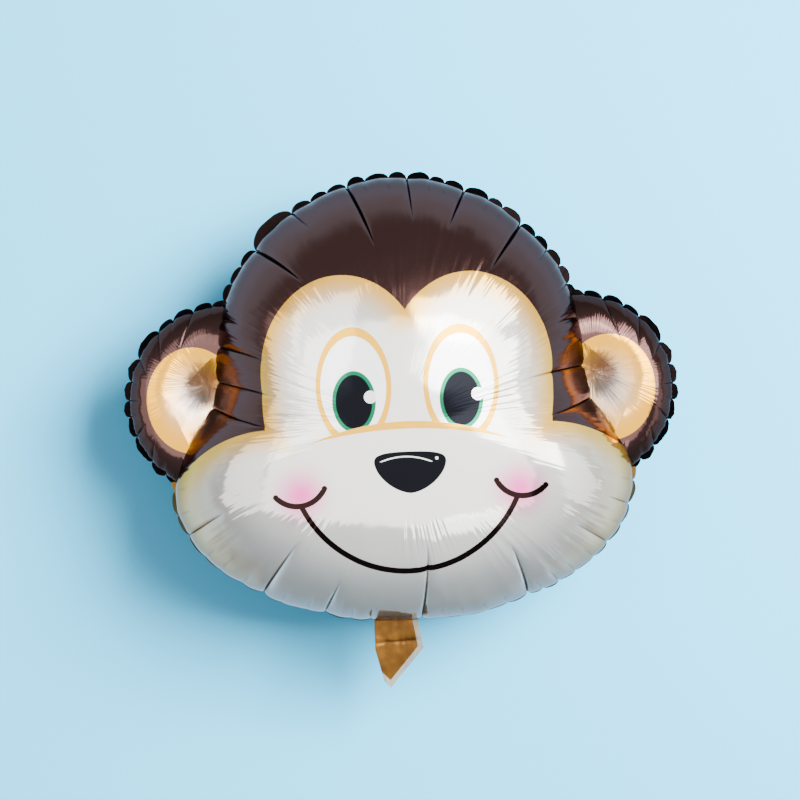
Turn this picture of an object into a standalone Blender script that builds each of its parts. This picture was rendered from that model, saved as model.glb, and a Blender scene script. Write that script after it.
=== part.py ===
"""Foil balloon in the shape of a monkey's head, inflated, lying face up on its back.

Units are metres. Seen from above, +X is to the right, +Y runs from the chin to the crown
and +Z comes up through the face. The origin is the middle of the flat resting spot on the
back.
"""

import math

import bmesh
import bpy

# Head outline: a round dome above a wide jaw, blended where they meet
DOME_RADIUS = 0.1675
DOME_CENTRE_Y = 0.056
JAW_HALF_WIDTH = 0.2065
JAW_HALF_HEIGHT = 0.1195
JAW_CENTRE_Y = -0.058
TEMPLE_BLEND = 0.20

# Ears: round outlines that grow out of the temples
EAR_RADIUS = 0.0855
EAR_CENTRE_X = 0.164
EAR_CENTRE_Y = 0.026
EAR_ROOT = 0.36

# Spot weld in the root of each ear, which pulls front and back together
SPOT_WELD_X = 0.179
SPOT_WELD_Y = 0.041
SPOT_WELD_REACH = 0.016
SPOT_WELD_PULL = 0.75

# Inflated depths, and how far the back is pressed flat where it rests
HEAD_THICKNESS = 0.225
EAR_THICKNESS = 0.056
REST_FLATTENING = 0.002

# Welded seam that stands out round the whole edge
SEAM_WIDTH = 0.0055
SEAM_THICKNESS = 0.0010

# How deep the seam draws the foil in at a crease, and the depth at which a crease would
# bring it right down to the seam's height
SLIGHT = 0.003
SHALLOW = 0.004
MARKED = 0.005
DEEP = 0.006
CREASE_FLAT_DEPTH = 1 / 18

# Creases pulled in by the seam: where each crosses the edge of the head, in degrees
# anticlockwise from +X, how deep the foil is drawn in there, and the share of the way out
# from the middle of the face at which the crease fades away
HEAD_CREASES = (
    (6, SLIGHT, 0.76), (15, SLIGHT, 0.66), (29, SLIGHT, 0.85), (38, SLIGHT, 0.88),
    (48, SLIGHT, 0.88), (57, DEEP, 0.68), (68, MARKED, 0.78), (87, SHALLOW, 0.76),
    (103, DEEP, 0.58), (114, SLIGHT, 0.86), (127, DEEP, 0.66), (149, SLIGHT, 0.84),
    (157, SLIGHT, 0.76), (166, SLIGHT, 0.74), (174, SLIGHT, 0.70), (206, DEEP, 0.76),
    (229, DEEP, 0.66), (246, MARKED, 0.74), (258, SLIGHT, 0.86), (274, DEEP, 0.54),
    (304, DEEP, 0.70), (313, SLIGHT, 0.86), (328, SHALLOW, 0.78), (339, SHALLOW, 0.86),
)
EAR_LOBES = 14
EAR_CREASE_DEPTH = 0.0045
HEAD_LOBE_STEPS = (0.0, 0.07, 0.25, 0.5, 0.75, 0.93)
EAR_LOBE_STEPS = (0.0, 0.2, 0.5, 0.8)
EAR_CREASE_START = 0.5
CREASE_SHARPNESS = 0.5

# Rings of each inflated form, from the middle of the face out to the seam
HEAD_RINGS = 10
EAR_RINGS = 6
SEAM_RINGS = 2

# Exponent of the side view of an inflated foil disc
FOIL_PROFILE_POWER = 2.786

# Filling valve: a strip of film that hangs out of the seam below the chin
VALVE_CENTRE_X = -0.0115
VALVE_WIDTH = 0.040
VALVE_SHOULDER_DROP = 0.0265
VALVE_SHOULDER_SPREAD = 0.0045
VALVE_LENGTH = 0.0625
VALVE_TIP_FROM_LEFT = 0.0135
VALVE_TIP_CHAMFER = 0.0060
VALVE_THICKNESS = 0.0012
VALVE_BORDER = 0.0042
VALVE_BORDER_STEP = 0.0003
VALVE_FOLD_DROP = 0.0200
VALVE_FOLD_DEPTH = 0.0012
VALVE_FOLD_WIDTH = 0.0025
CLEARANCE = 0.0003

# The seam's mid-plane stands this high over the surface that the balloon lies on
SEAM_HEIGHT = HEAD_THICKNESS / 2 - REST_FLATTENING

# Colours, roughness and metallic values
FOIL_COLOUR = (0.075, 0.040, 0.032, 1.0)
FOIL_ROUGHNESS = 0.28
FOIL_METALLIC = 0.85
FILM_COLOUR = (0.55, 0.30, 0.07, 1.0)
FILM_ROUGHNESS = 0.35
FILM_METALLIC = 0.30


def clear_scene():
    """Remove whatever the scene holds."""
    for thing in list(bpy.data.objects):
        bpy.data.objects.remove(thing)


def new_collection(name):
    """Return a new collection linked to the scene."""
    made = bpy.data.collections.new(name)
    bpy.context.scene.collection.children.link(made)
    return made


def new_material(name, colour, roughness, metallic):
    """Return a plain surface material."""
    material = bpy.data.materials.new(name)
    material.use_nodes = True
    shader = material.node_tree.nodes["Principled BSDF"]
    shader.inputs["Base Color"].default_value = colour
    shader.inputs["Roughness"].default_value = roughness
    shader.inputs["Metallic"].default_value = metallic
    return material


def oval_field(x, y, centre_x, centre_y, half_width, half_height):
    """Return 1 at an oval's centre, 0 on its edge and less outside it."""
    return 1 - ((x - centre_x) / half_width) ** 2 - ((y - centre_y) / half_height) ** 2


def joined(a, b, blend):
    """Return the field of two outlines made one, with their corner filled by blend."""
    return a + b + math.sqrt(a * a + b * b + blend * blend)


def shared(a, b):
    """Return the field of what two outlines have in common."""
    return a + b - math.sqrt(a * a + b * b)


def head_field(x, y):
    """Return the field of the head: over 0 inside its outline."""
    dome = oval_field(x, y, 0, DOME_CENTRE_Y, DOME_RADIUS, DOME_RADIUS)
    jaw = oval_field(x, y, 0, JAW_CENTRE_Y, JAW_HALF_WIDTH, JAW_HALF_HEIGHT)
    return joined(dome, jaw, TEMPLE_BLEND)


def ear_field(x, y):
    """Return the field of the right ear: its disc, cut back inside the head's outline."""
    disc = oval_field(x, y, EAR_CENTRE_X, EAR_CENTRE_Y, EAR_RADIUS, EAR_RADIUS)
    return shared(disc, EAR_ROOT - head_field(x, y))


def edge_distance(field, centre, angle, furthest=0.6, halvings=40):
    """Return how far it is from centre to the field's edge, in the direction of angle."""
    near, far = 0.0, furthest
    for _ in range(halvings):
        middle = (near + far) / 2
        x = centre[0] + middle * math.cos(angle)
        y = centre[1] + middle * math.sin(angle)
        if field(x, y) > 0:
            near = middle
        else:
            far = middle
    return near


def foil_profile(out):
    """Return the share of the full height at this share of the way out to the seam."""
    return math.sqrt(max(0.0, 1 - out ** FOIL_PROFILE_POWER))


def spot_weld_share(x, y):
    """Return the share of the height that the nearer spot weld leaves."""
    square = (abs(x) - SPOT_WELD_X) ** 2 + (y - SPOT_WELD_Y) ** 2
    return 1 - SPOT_WELD_PULL * math.exp(-square / SPOT_WELD_REACH ** 2)


def lobe_directions(creases, steps):
    """Return (angle, draw, start) for every direction round an edge.

    draw is the depth by which the seam is pulled in there: all of a crease's depth at the
    crease, and none in the middle of the lobe between two creases. start is the share of
    the way out at which the pull sets in.
    """
    directions = []
    for index, crease in enumerate(creases):
        following = creases[(index + 1) % len(creases)]
        span = (following[0] - crease[0]) % 360
        for along in steps:
            _, depth, start = crease if along < 0.5 else following
            puff = math.sin(math.pi * along) ** CREASE_SHARPNESS
            angle = math.radians(crease[0] + span * along)
            directions.append((angle, depth * (1 - puff), start))
    return directions


def ear_creases():
    """Return evenly spread creases for one ear."""
    turn = 360 / EAR_LOBES
    return tuple((lobe * turn, EAR_CREASE_DEPTH, EAR_CREASE_START) for lobe in range(EAR_LOBES))


def crease_strength(out, start):
    """Return 0 up to the share of the way out where a crease starts, and 1 at the seam."""
    share = max(0.0, (out - start) / (1 - start))
    return share * share * (3 - 2 * share)


def inflated_form(name, field, centre, thickness, directions, rings):
    """Return a mesh object: a ball whose meridians run to the field's edge.

    The ball's equator becomes the welded seam. Its front and back swell as foil does, and
    its creases run in from the seam.
    """
    columns = len(directions)
    rows = rings + SEAM_RINGS
    reaches = [edge_distance(field, centre, angle) for angle, _, _ in directions]
    form = bmesh.new()
    bmesh.ops.create_uvsphere(form, u_segments=columns, v_segments=2 * rows, radius=1)
    for point in form.verts:
        turn = math.atan2(point.co.y, point.co.x) / (2 * math.pi)
        column = round(turn * columns) % columns
        fall = math.acos(max(-1.0, min(1.0, point.co.z))) / math.pi
        row = round(fall * 2 * rows)
        side = 1 if row <= rows else -1
        row = min(row, 2 * rows - row)
        angle, draw, start = directions[column]
        reach = reaches[column]
        out = math.sin(math.pi / 2 * min(row, rings) / rings)
        draw *= crease_strength(out, start)
        distance = out * reach - draw
        x = centre[0] + distance * math.cos(angle)
        y = centre[1] + distance * math.sin(angle)
        height = thickness / 2 * foil_profile(out) * (1 - draw / CREASE_FLAT_DEPTH)
        height = max(height * spot_weld_share(x, y), SEAM_THICKNESS / 2)
        if row > rings:
            distance += SEAM_WIDTH
        if row == rows:
            height = 0.0
        point.co.x = centre[0] + distance * math.cos(angle)
        point.co.y = centre[1] + distance * math.sin(angle)
        point.co.z = side * height
    bmesh.ops.triangulate(form, faces=form.faces)
    mesh = bpy.data.meshes.new(name)
    form.to_mesh(mesh)
    form.free()
    return bpy.data.objects.new(name, mesh)


def press_flat(piece, level):
    """Cut the piece off flat at level and close the cut with one face."""
    form = bmesh.new()
    form.from_mesh(piece.data)
    everything = form.verts[:] + form.edges[:] + form.faces[:]
    cut = bmesh.ops.bisect_plane(
        form, geom=everything, plane_co=(0, 0, level), plane_no=(0, 0, -1), clear_outer=True
    )
    rim = [item for item in cut["geom_cut"] if isinstance(item, bmesh.types.BMEdge)]
    bmesh.ops.contextual_create(form, geom=rim)
    bmesh.ops.recalc_face_normals(form, faces=form.faces)
    form.to_mesh(piece.data)
    form.free()


def mirrored(piece, name):
    """Return the piece's mirror image in the plane x = 0."""
    form = bmesh.new()
    form.from_mesh(piece.data)
    bmesh.ops.scale(form, vec=(-1, 1, 1), verts=form.verts)
    bmesh.ops.reverse_faces(form, faces=form.faces)
    mesh = bpy.data.meshes.new(name)
    form.to_mesh(mesh)
    form.free()
    return bpy.data.objects.new(name, mesh)


def weld_on(body, other):
    """Join another solid to body with a union, and hide that solid as a helper."""
    other.hide_render = True
    other.display_type = "WIRE"
    joint = body.modifiers.new("join_" + other.name, "BOOLEAN")
    joint.operation = "UNION"
    joint.solver = "EXACT"
    joint.object = other


def make_envelope(collection, helpers, material, directions):
    """Make the inflated head with both ears, as one sealed solid."""
    head = inflated_form(
        "foil_envelope", head_field, (0.0, 0.0), HEAD_THICKNESS, directions, HEAD_RINGS
    )
    press_flat(head, -SEAM_HEIGHT)
    temple = edge_distance(head_field, (0.0, EAR_CENTRE_Y), 0.0)
    ear_middle = ((temple + EAR_CENTRE_X + EAR_RADIUS) / 2, EAR_CENTRE_Y)
    right_ear = inflated_form(
        "right_ear_bulge",
        ear_field,
        ear_middle,
        EAR_THICKNESS,
        lobe_directions(ear_creases(), EAR_LOBE_STEPS),
        EAR_RINGS,
    )
    left_ear = mirrored(right_ear, "left_ear_bulge")
    for ear in (right_ear, left_ear):
        helpers.objects.link(ear)
        ear.location.z = SEAM_HEIGHT
        weld_on(head, ear)
    collection.objects.link(head)
    head.location.z = SEAM_HEIGHT
    head.data.materials.append(material)
    head.data.shade_smooth()
    return head


def chin_edge(directions, left, right):
    """Return the points of the seam's outer edge under the chin, between two values of x."""
    edge = []
    for angle, draw, _ in directions:
        if math.pi < angle < 2 * math.pi:
            distance = edge_distance(head_field, (0.0, 0.0), angle) - draw + SEAM_WIDTH
            edge.append((distance * math.cos(angle), distance * math.sin(angle)))
    found = []
    for (x0, y0), (x1, y1) in zip(edge, edge[1:]):
        for x in (left, right):
            if x0 <= x < x1:
                found.append((x, y0 + (y1 - y0) * (x - x0) / (x1 - x0)))
        if left < x1 < right:
            found.append((x1, y1))
    return sorted(found)


def valve_outline(directions):
    """Return the strip's corners: along the seam, then down and round the cut-off tip."""
    left = VALVE_CENTRE_X - VALVE_WIDTH / 2
    right = VALVE_CENTRE_X + VALVE_WIDTH / 2
    root = [(x, y - CLEARANCE) for x, y in chin_edge(directions, left, right)]
    top = root[0][1]
    tip = left + VALVE_TIP_FROM_LEFT
    heel = tip - VALVE_TIP_CHAMFER
    return root + [
        (right + VALVE_SHOULDER_SPREAD, top - VALVE_SHOULDER_DROP),
        (tip, top - VALVE_LENGTH),
        (heel, top - VALVE_LENGTH + VALVE_TIP_CHAMFER),
        (left, top - VALVE_SHOULDER_DROP),
    ]


def flat_plate(name, outline, thickness):
    """Return a mesh object: the outline filled and made this thick, about its mid-plane."""
    drawing = bpy.data.curves.new(name, "CURVE")
    drawing.dimensions = "2D"
    drawing.fill_mode = "BOTH"
    drawing.extrude = thickness / 2
    line = drawing.splines.new("POLY")
    line.points.add(len(outline) - 1)
    for point, (x, y) in zip(line.points, outline):
        point.co = (x, y, 0.0, 1.0)
    line.use_cyclic_u = True
    sketch = bpy.data.objects.new(name + "_sketch", drawing)
    bpy.context.scene.collection.objects.link(sketch)
    seen = sketch.evaluated_get(bpy.context.evaluated_depsgraph_get())
    mesh = bpy.data.meshes.new_from_object(seen)
    bpy.data.objects.remove(sketch)
    form = bmesh.new()
    form.from_mesh(mesh)
    bmesh.ops.remove_doubles(form, verts=form.verts, dist=0.00001)
    level = [edge for edge in form.edges if abs(edge.verts[0].co.z - edge.verts[1].co.z) < 1e-6]
    bmesh.ops.dissolve_limit(form, angle_limit=0.01, verts=form.verts, edges=level)
    form.to_mesh(mesh)
    form.free()
    return bpy.data.objects.new(name, mesh)


def raise_border(form, width, step):
    """Leave a border of this width and raise what it encloses on both sides by step."""
    faces = [face for face in form.faces if abs(face.normal.z) > 0.9]
    for face in faces:
        side = 1 if face.normal.z > 0 else -1
        bmesh.ops.inset_region(form, faces=[face], thickness=width, use_even_offset=True)
        bmesh.ops.translate(form, vec=(0, 0, side * step), verts=face.verts[:])


def press_fold(form, level):
    """Press a shallow fold line across the strip where y is level."""
    for offset in (VALVE_FOLD_WIDTH, 0.0, -VALVE_FOLD_WIDTH):
        everything = form.verts[:] + form.edges[:] + form.faces[:]
        place = (0, level + offset, 0)
        bmesh.ops.bisect_plane(form, geom=everything, plane_co=place, plane_no=(0, 1, 0))
    for point in form.verts:
        if abs(point.co.y - level) < VALVE_FOLD_WIDTH / 2:
            point.co.z -= VALVE_FOLD_DEPTH


def make_valve(collection, material, directions):
    """Make the strip of film that hangs out of the seam, with its welded border."""
    outline = valve_outline(directions)
    valve = flat_plate("filling_valve", outline, VALVE_THICKNESS)
    form = bmesh.new()
    form.from_mesh(valve.data)
    raise_border(form, VALVE_BORDER, VALVE_BORDER_STEP)
    press_fold(form, outline[0][1] - VALVE_FOLD_DROP)
    form.to_mesh(valve.data)
    form.free()
    valve.location.z = SEAM_HEIGHT
    valve.data.materials.append(material)
    collection.objects.link(valve)
    return valve


def main():
    """Build the balloon."""
    clear_scene()
    balloon = new_collection("monkey_foil_balloon")
    helpers = new_collection("helpers")
    foil = new_material("printed_foil", FOIL_COLOUR, FOIL_ROUGHNESS, FOIL_METALLIC)
    film = new_material("valve_film", FILM_COLOUR, FILM_ROUGHNESS, FILM_METALLIC)
    directions = lobe_directions(HEAD_CREASES, HEAD_LOBE_STEPS)
    make_envelope(balloon, helpers, foil, directions)
    make_valve(balloon, film, directions)


main()
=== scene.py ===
"""Looks of a foil balloon in the shape of a monkey's head, lying face up on a pale floor.

Units are metres. +X is to the right, +Y runs from the chin to the crown, and +Z comes up
through the printed face. The print alone is laid out in millimetres.
"""

import logging
import math
from collections.abc import Callable, Sequence
from dataclasses import dataclass, field
from enum import Enum
from typing import ClassVar

import bmesh
import bpy
import numpy as np
from mathutils import Matrix, Quaternion, Vector, noise


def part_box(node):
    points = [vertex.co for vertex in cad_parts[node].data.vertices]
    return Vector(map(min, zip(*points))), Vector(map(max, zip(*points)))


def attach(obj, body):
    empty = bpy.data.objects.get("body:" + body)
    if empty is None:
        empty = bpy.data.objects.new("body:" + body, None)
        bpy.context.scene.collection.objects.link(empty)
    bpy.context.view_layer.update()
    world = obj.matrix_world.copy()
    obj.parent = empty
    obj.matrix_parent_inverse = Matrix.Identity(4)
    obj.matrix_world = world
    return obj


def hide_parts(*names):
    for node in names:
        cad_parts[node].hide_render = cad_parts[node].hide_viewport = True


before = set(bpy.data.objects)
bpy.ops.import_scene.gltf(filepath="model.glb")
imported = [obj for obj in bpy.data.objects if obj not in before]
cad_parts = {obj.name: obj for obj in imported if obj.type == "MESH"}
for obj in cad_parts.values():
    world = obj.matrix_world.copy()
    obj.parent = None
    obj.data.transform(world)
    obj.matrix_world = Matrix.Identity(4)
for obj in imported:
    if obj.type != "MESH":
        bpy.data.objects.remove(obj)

LOG = logging.getLogger("monkey_balloon")
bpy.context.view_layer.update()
BODY = "root"
FARTHEST = 0.6
HALVINGS = 40

Socket = bpy.types.NodeSocket
Point = tuple[float, float]
Shape = tuple[float, float, float, float]
Colour = tuple[float, float, float, float]
Field = Callable[[np.ndarray, np.ndarray], np.ndarray]


class FoilSide(Enum):
    """The print that a part of the foil carries, as its material's index."""

    FACE = 0
    EAR = 1
    BACK = 2


@dataclass(frozen=True)
class Oval:
    """An upright ellipse in the plan of the balloon."""

    x: float
    y: float
    half_width: float
    half_height: float

    def field(self, x: np.ndarray, y: np.ndarray) -> np.ndarray:
        """Return 1 at the oval's centre, 0 on its edge and less outside it."""
        across = ((x - self.x) / self.half_width) ** 2
        return 1 - across - ((y - self.y) / self.half_height) ** 2


@dataclass(frozen=True)
class Plan:
    """Outline of the inflated balloon at the height of its seam."""

    dome: Oval = Oval(0.0, 0.056, 0.1675, 0.1675)
    jaw: Oval = Oval(0.0, -0.058, 0.2065, 0.1195)
    ear: Oval = Oval(0.164, 0.026, 0.0855, 0.0855)
    temple_blend: float = 0.20
    ear_root: float = 0.36

    def head(self, x: np.ndarray, y: np.ndarray) -> np.ndarray:
        """Return the field of the head: over 0 inside its outline."""
        dome = self.dome.field(x, y)
        jaw = self.jaw.field(x, y)
        return dome + jaw + np.sqrt(dome**2 + jaw**2 + self.temple_blend**2)

    def right_ear(self, x: np.ndarray, y: np.ndarray) -> np.ndarray:
        """Return the field of the right ear, cut back just inside the head's outline."""
        disc = self.ear.field(x, y)
        root = self.ear_root - self.head(x, y)
        return disc + root - np.sqrt(disc**2 + root**2)


def edge_reach(outline: Field, centre: Point, angles: np.ndarray) -> np.ndarray:
    """Measure how far an outline's edge is from a point, in many directions.

    Args:
        outline: Field that is over 0 inside the outline.
        centre: The point to measure from.
        angles: Directions in radians.

    Returns:
        One distance for each direction.
    """
    near = np.zeros_like(angles)
    far = np.full_like(angles, FARTHEST)
    for _ in range(HALVINGS):
        middle = (near + far) / 2
        x = centre[0] + middle * np.cos(angles)
        y = centre[1] + middle * np.sin(angles)
        inside = outline(x, y) > 0
        near = np.where(inside, middle, near)
        far = np.where(inside, far, middle)
    return near


def turned(angle: np.ndarray) -> np.ndarray:
    """Return an angle in radians brought between minus pi and pi."""
    return (angle + math.pi) % (2 * math.pi) - math.pi


@dataclass(frozen=True)
class Crease:
    """A valley that the seam pulls into the foil.

    rim and tip are its directions in degrees at the seam and at its inner end, and start is
    the share of the way out at which it begins. fold and hollow are the widths of its sharp
    bottom and of the soft dip round it.
    """

    rim: float
    tip: float
    start: float
    depth: float
    fold: float = 0.0013
    hollow: float = 0.0065
    fold_share: ClassVar[float] = 0.55
    onset: ClassVar[float] = 0.8
    rim_relief: ClassVar[float] = 0.45
    widest_turn: ClassVar[float] = 1.2
    shade_width: ClassVar[float] = 0.0006
    shade_widening: ClassVar[float] = 0.05
    shade_base: ClassVar[float] = 0.15
    shade_depth: ClassVar[float] = 0.0105
    unrest_width: ClassVar[float] = 0.020
    unrest_length: ClassVar[float] = 0.028
    unrest_depth: ClassVar[float] = 0.0042

    def along(self, out: np.ndarray) -> np.ndarray:
        """Return how far each share of the way out is from the crease's tip to its rim."""
        return np.clip((out - self.start) / (1 - self.start), 0, 1)

    def swerve(self, out: np.ndarray) -> np.ndarray:
        """Return the angle in radians by which the crease lies beside its rim's direction."""
        return np.radians(self.tip - self.rim) * (1 - self.along(out))

    def beside(self, grid: "Grid") -> tuple[np.ndarray, np.ndarray]:
        """Return each point's distance from the crease's line, and whether it is on its side."""
        off = turned(grid.turns - math.radians(self.rim) - self.swerve(grid.out))
        return np.abs(np.sin(off)) * grid.out * grid.reach, np.abs(off) < self.widest_turn

    def valley(self, grid: "Grid") -> np.ndarray:
        """Return how deep the foil is drawn in at each point of a grid."""
        away, near = self.beside(grid)
        along = self.along(grid.out)
        section = self.fold_share * np.exp(-away / self.fold)
        section += (1 - self.fold_share) * np.exp(-away / self.hollow)
        course = along**self.onset * (1 - self.rim_relief * along**3)
        return self.depth * course * section * near

    def shade(self, grid: "Grid") -> np.ndarray:
        """Return how much painted shade darkens the crease's narrow bottom at each point."""
        away, near = self.beside(grid)
        along = self.along(grid.out)
        width = self.shade_width + self.shade_widening * self.depth * along
        line = np.exp(-((away / width) ** 2)) * np.clip(along * 4, 0, 1)
        return line * near * min(1.0, self.shade_base + self.depth / self.shade_depth)

    def unrest(self, grid: "Grid") -> np.ndarray:
        """Return how strongly fine wrinkles gather round the crease's tip at each point."""
        away, near = self.beside(grid)
        past = (grid.out - self.start) * grid.reach
        gather = np.exp(-((away / self.unrest_width) ** 2) - (past / self.unrest_length) ** 2)
        return gather * near * min(1.0, self.depth / self.unrest_depth)


@dataclass(frozen=True)
class Grid:
    """Points of one side of a swelling, before any crease.

    out is the share of the way to the seam of each row, in one column. turns holds every
    point's direction in radians, reach the distance to the seam there, and points the
    places, with heights measured from the seam.
    """

    out: np.ndarray
    turns: np.ndarray
    reach: np.ndarray
    points: np.ndarray

    def outward(self) -> np.ndarray:
        """Return the unit normal at each point."""
        down = np.gradient(self.points, axis=0)
        beside = np.roll(self.points, -1, axis=1) - np.roll(self.points, 1, axis=1)
        normal = np.cross(down, beside)
        normal /= np.maximum(np.linalg.norm(normal, axis=-1, keepdims=True), 1e-12)
        normal[0] = (0, 0, 1)
        return normal


@dataclass(frozen=True)
class Flap:
    """One scallop of the seam, between two puckers, with its directions in radians."""

    start: float
    end: float
    size: float
    lift: float


@dataclass(frozen=True)
class Ruffle:
    """The welded seam, which stands out round the foil in small stiff scallops.

    broad lists scallops that span more than their neighbours, as their first and last
    direction in degrees and their size. sizes and lifts are the least and most of the others.
    """

    width: float = 0.0062
    pitch: float = 0.0195
    lift: float = 0.0040
    thickness: float = 0.0005
    pucker_depth: float = 0.0016
    pucker_start: float = 0.93
    pucker_fold: float = 0.001
    pucker_hollow: float = 0.004
    root_share: float = 0.22
    uneven: float = 0.16
    sizes: Point = (0.75, 1.1)
    lifts: Point = (-1.1, -0.3)
    broad_lift: float = -0.1
    seed: int = 5
    broad: tuple[tuple[float, float, float], ...] = ()

    def flaps(self, creases: Sequence[Crease], reach: Callable[[float], float]) -> list[Flap]:
        """Divide the seam between the main creases into scallops of about one pitch.

        Args:
            creases: The main creases, in order of direction.
            reach: Gives the distance to the seam in a direction in radians.

        Returns:
            The scallops in order round the edge.
        """
        chance = np.random.default_rng(self.seed)
        made = []
        starts = [math.radians(crease.rim) for crease in creases]
        for index, start in enumerate(starts):
            span = (starts[(index + 1) % len(starts)] - start) % (2 * math.pi)
            count = max(1, round(span * reach(start + span / 2) / self.pitch))
            cuts = np.arange(1, count) + chance.uniform(-self.uneven, self.uneven, count - 1)
            edges = np.concatenate([[0], cuts, [count]]) / count * span + start
            for first, last in zip(edges, edges[1:]):
                size = chance.uniform(*self.sizes)
                lift = chance.uniform(*self.lifts)
                made.append(Flap(float(first), float(last), float(size), float(lift)))
        for first, last, size in self.broad:
            start, end = math.radians(first), math.radians(last)
            made = [flap for flap in made if flap.end <= start or flap.start >= end]
            made.append(Flap(start, end, size, self.broad_lift))
        return sorted(made, key=lambda flap: flap.start)


@dataclass(frozen=True)
class SpotWeld:
    """A spot in the root of each ear where front and back are welded together."""

    x: float = 0.179
    y: float = 0.041
    reach: float = 0.020
    pull: float = 0.80
    arms: int = 5
    arm_depth: float = 0.0012
    arm_start: float = 0.006
    arm_reach: float = 0.028
    arm_sharpness: float = 1.5
    arm_sway: float = 0.9
    sway_turn: float = 0.6

    def distance(self, x: np.ndarray, y: np.ndarray) -> np.ndarray:
        """Return how far points are from the nearer of the two spots."""
        return np.hypot(np.abs(x) - self.x, y - self.y)

    def share(self, x: np.ndarray, y: np.ndarray) -> np.ndarray:
        """Return the share of the height that the spot leaves."""
        return 1 - self.pull * np.exp(-self.distance(x, y) / self.reach)

    def wrinkles(self, x: np.ndarray, y: np.ndarray) -> np.ndarray:
        """Return the depth of the folds that run out from the spot like a star."""
        turn = np.arctan2(y - self.y, np.abs(x) - self.x)
        sway = self.arm_sway * np.sin(2 * turn + self.sway_turn)
        star = 1 - np.abs(np.sin(self.arms / 2 * turn + sway))
        away = self.distance(x, y)
        near = 1 - np.exp(-away / self.arm_start)
        return self.arm_depth * star**self.arm_sharpness * near * np.exp(-away / self.arm_reach)


def ripple(angles: np.ndarray, waves: Sequence[int], seed: int) -> np.ndarray:
    """Add up waves round an edge, with chance phases, to a height of about 1.

    Args:
        angles: Directions in radians.
        waves: How many times each wave goes round.
        seed: Fixes the phases.

    Returns:
        The height in each direction.
    """
    chance = np.random.default_rng(seed)
    phases = chance.uniform(0, 2 * math.pi, len(waves))
    total = sum(np.sin(count * angles + phase) for count, phase in zip(waves, phases))
    return total / math.sqrt(len(waves))


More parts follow.
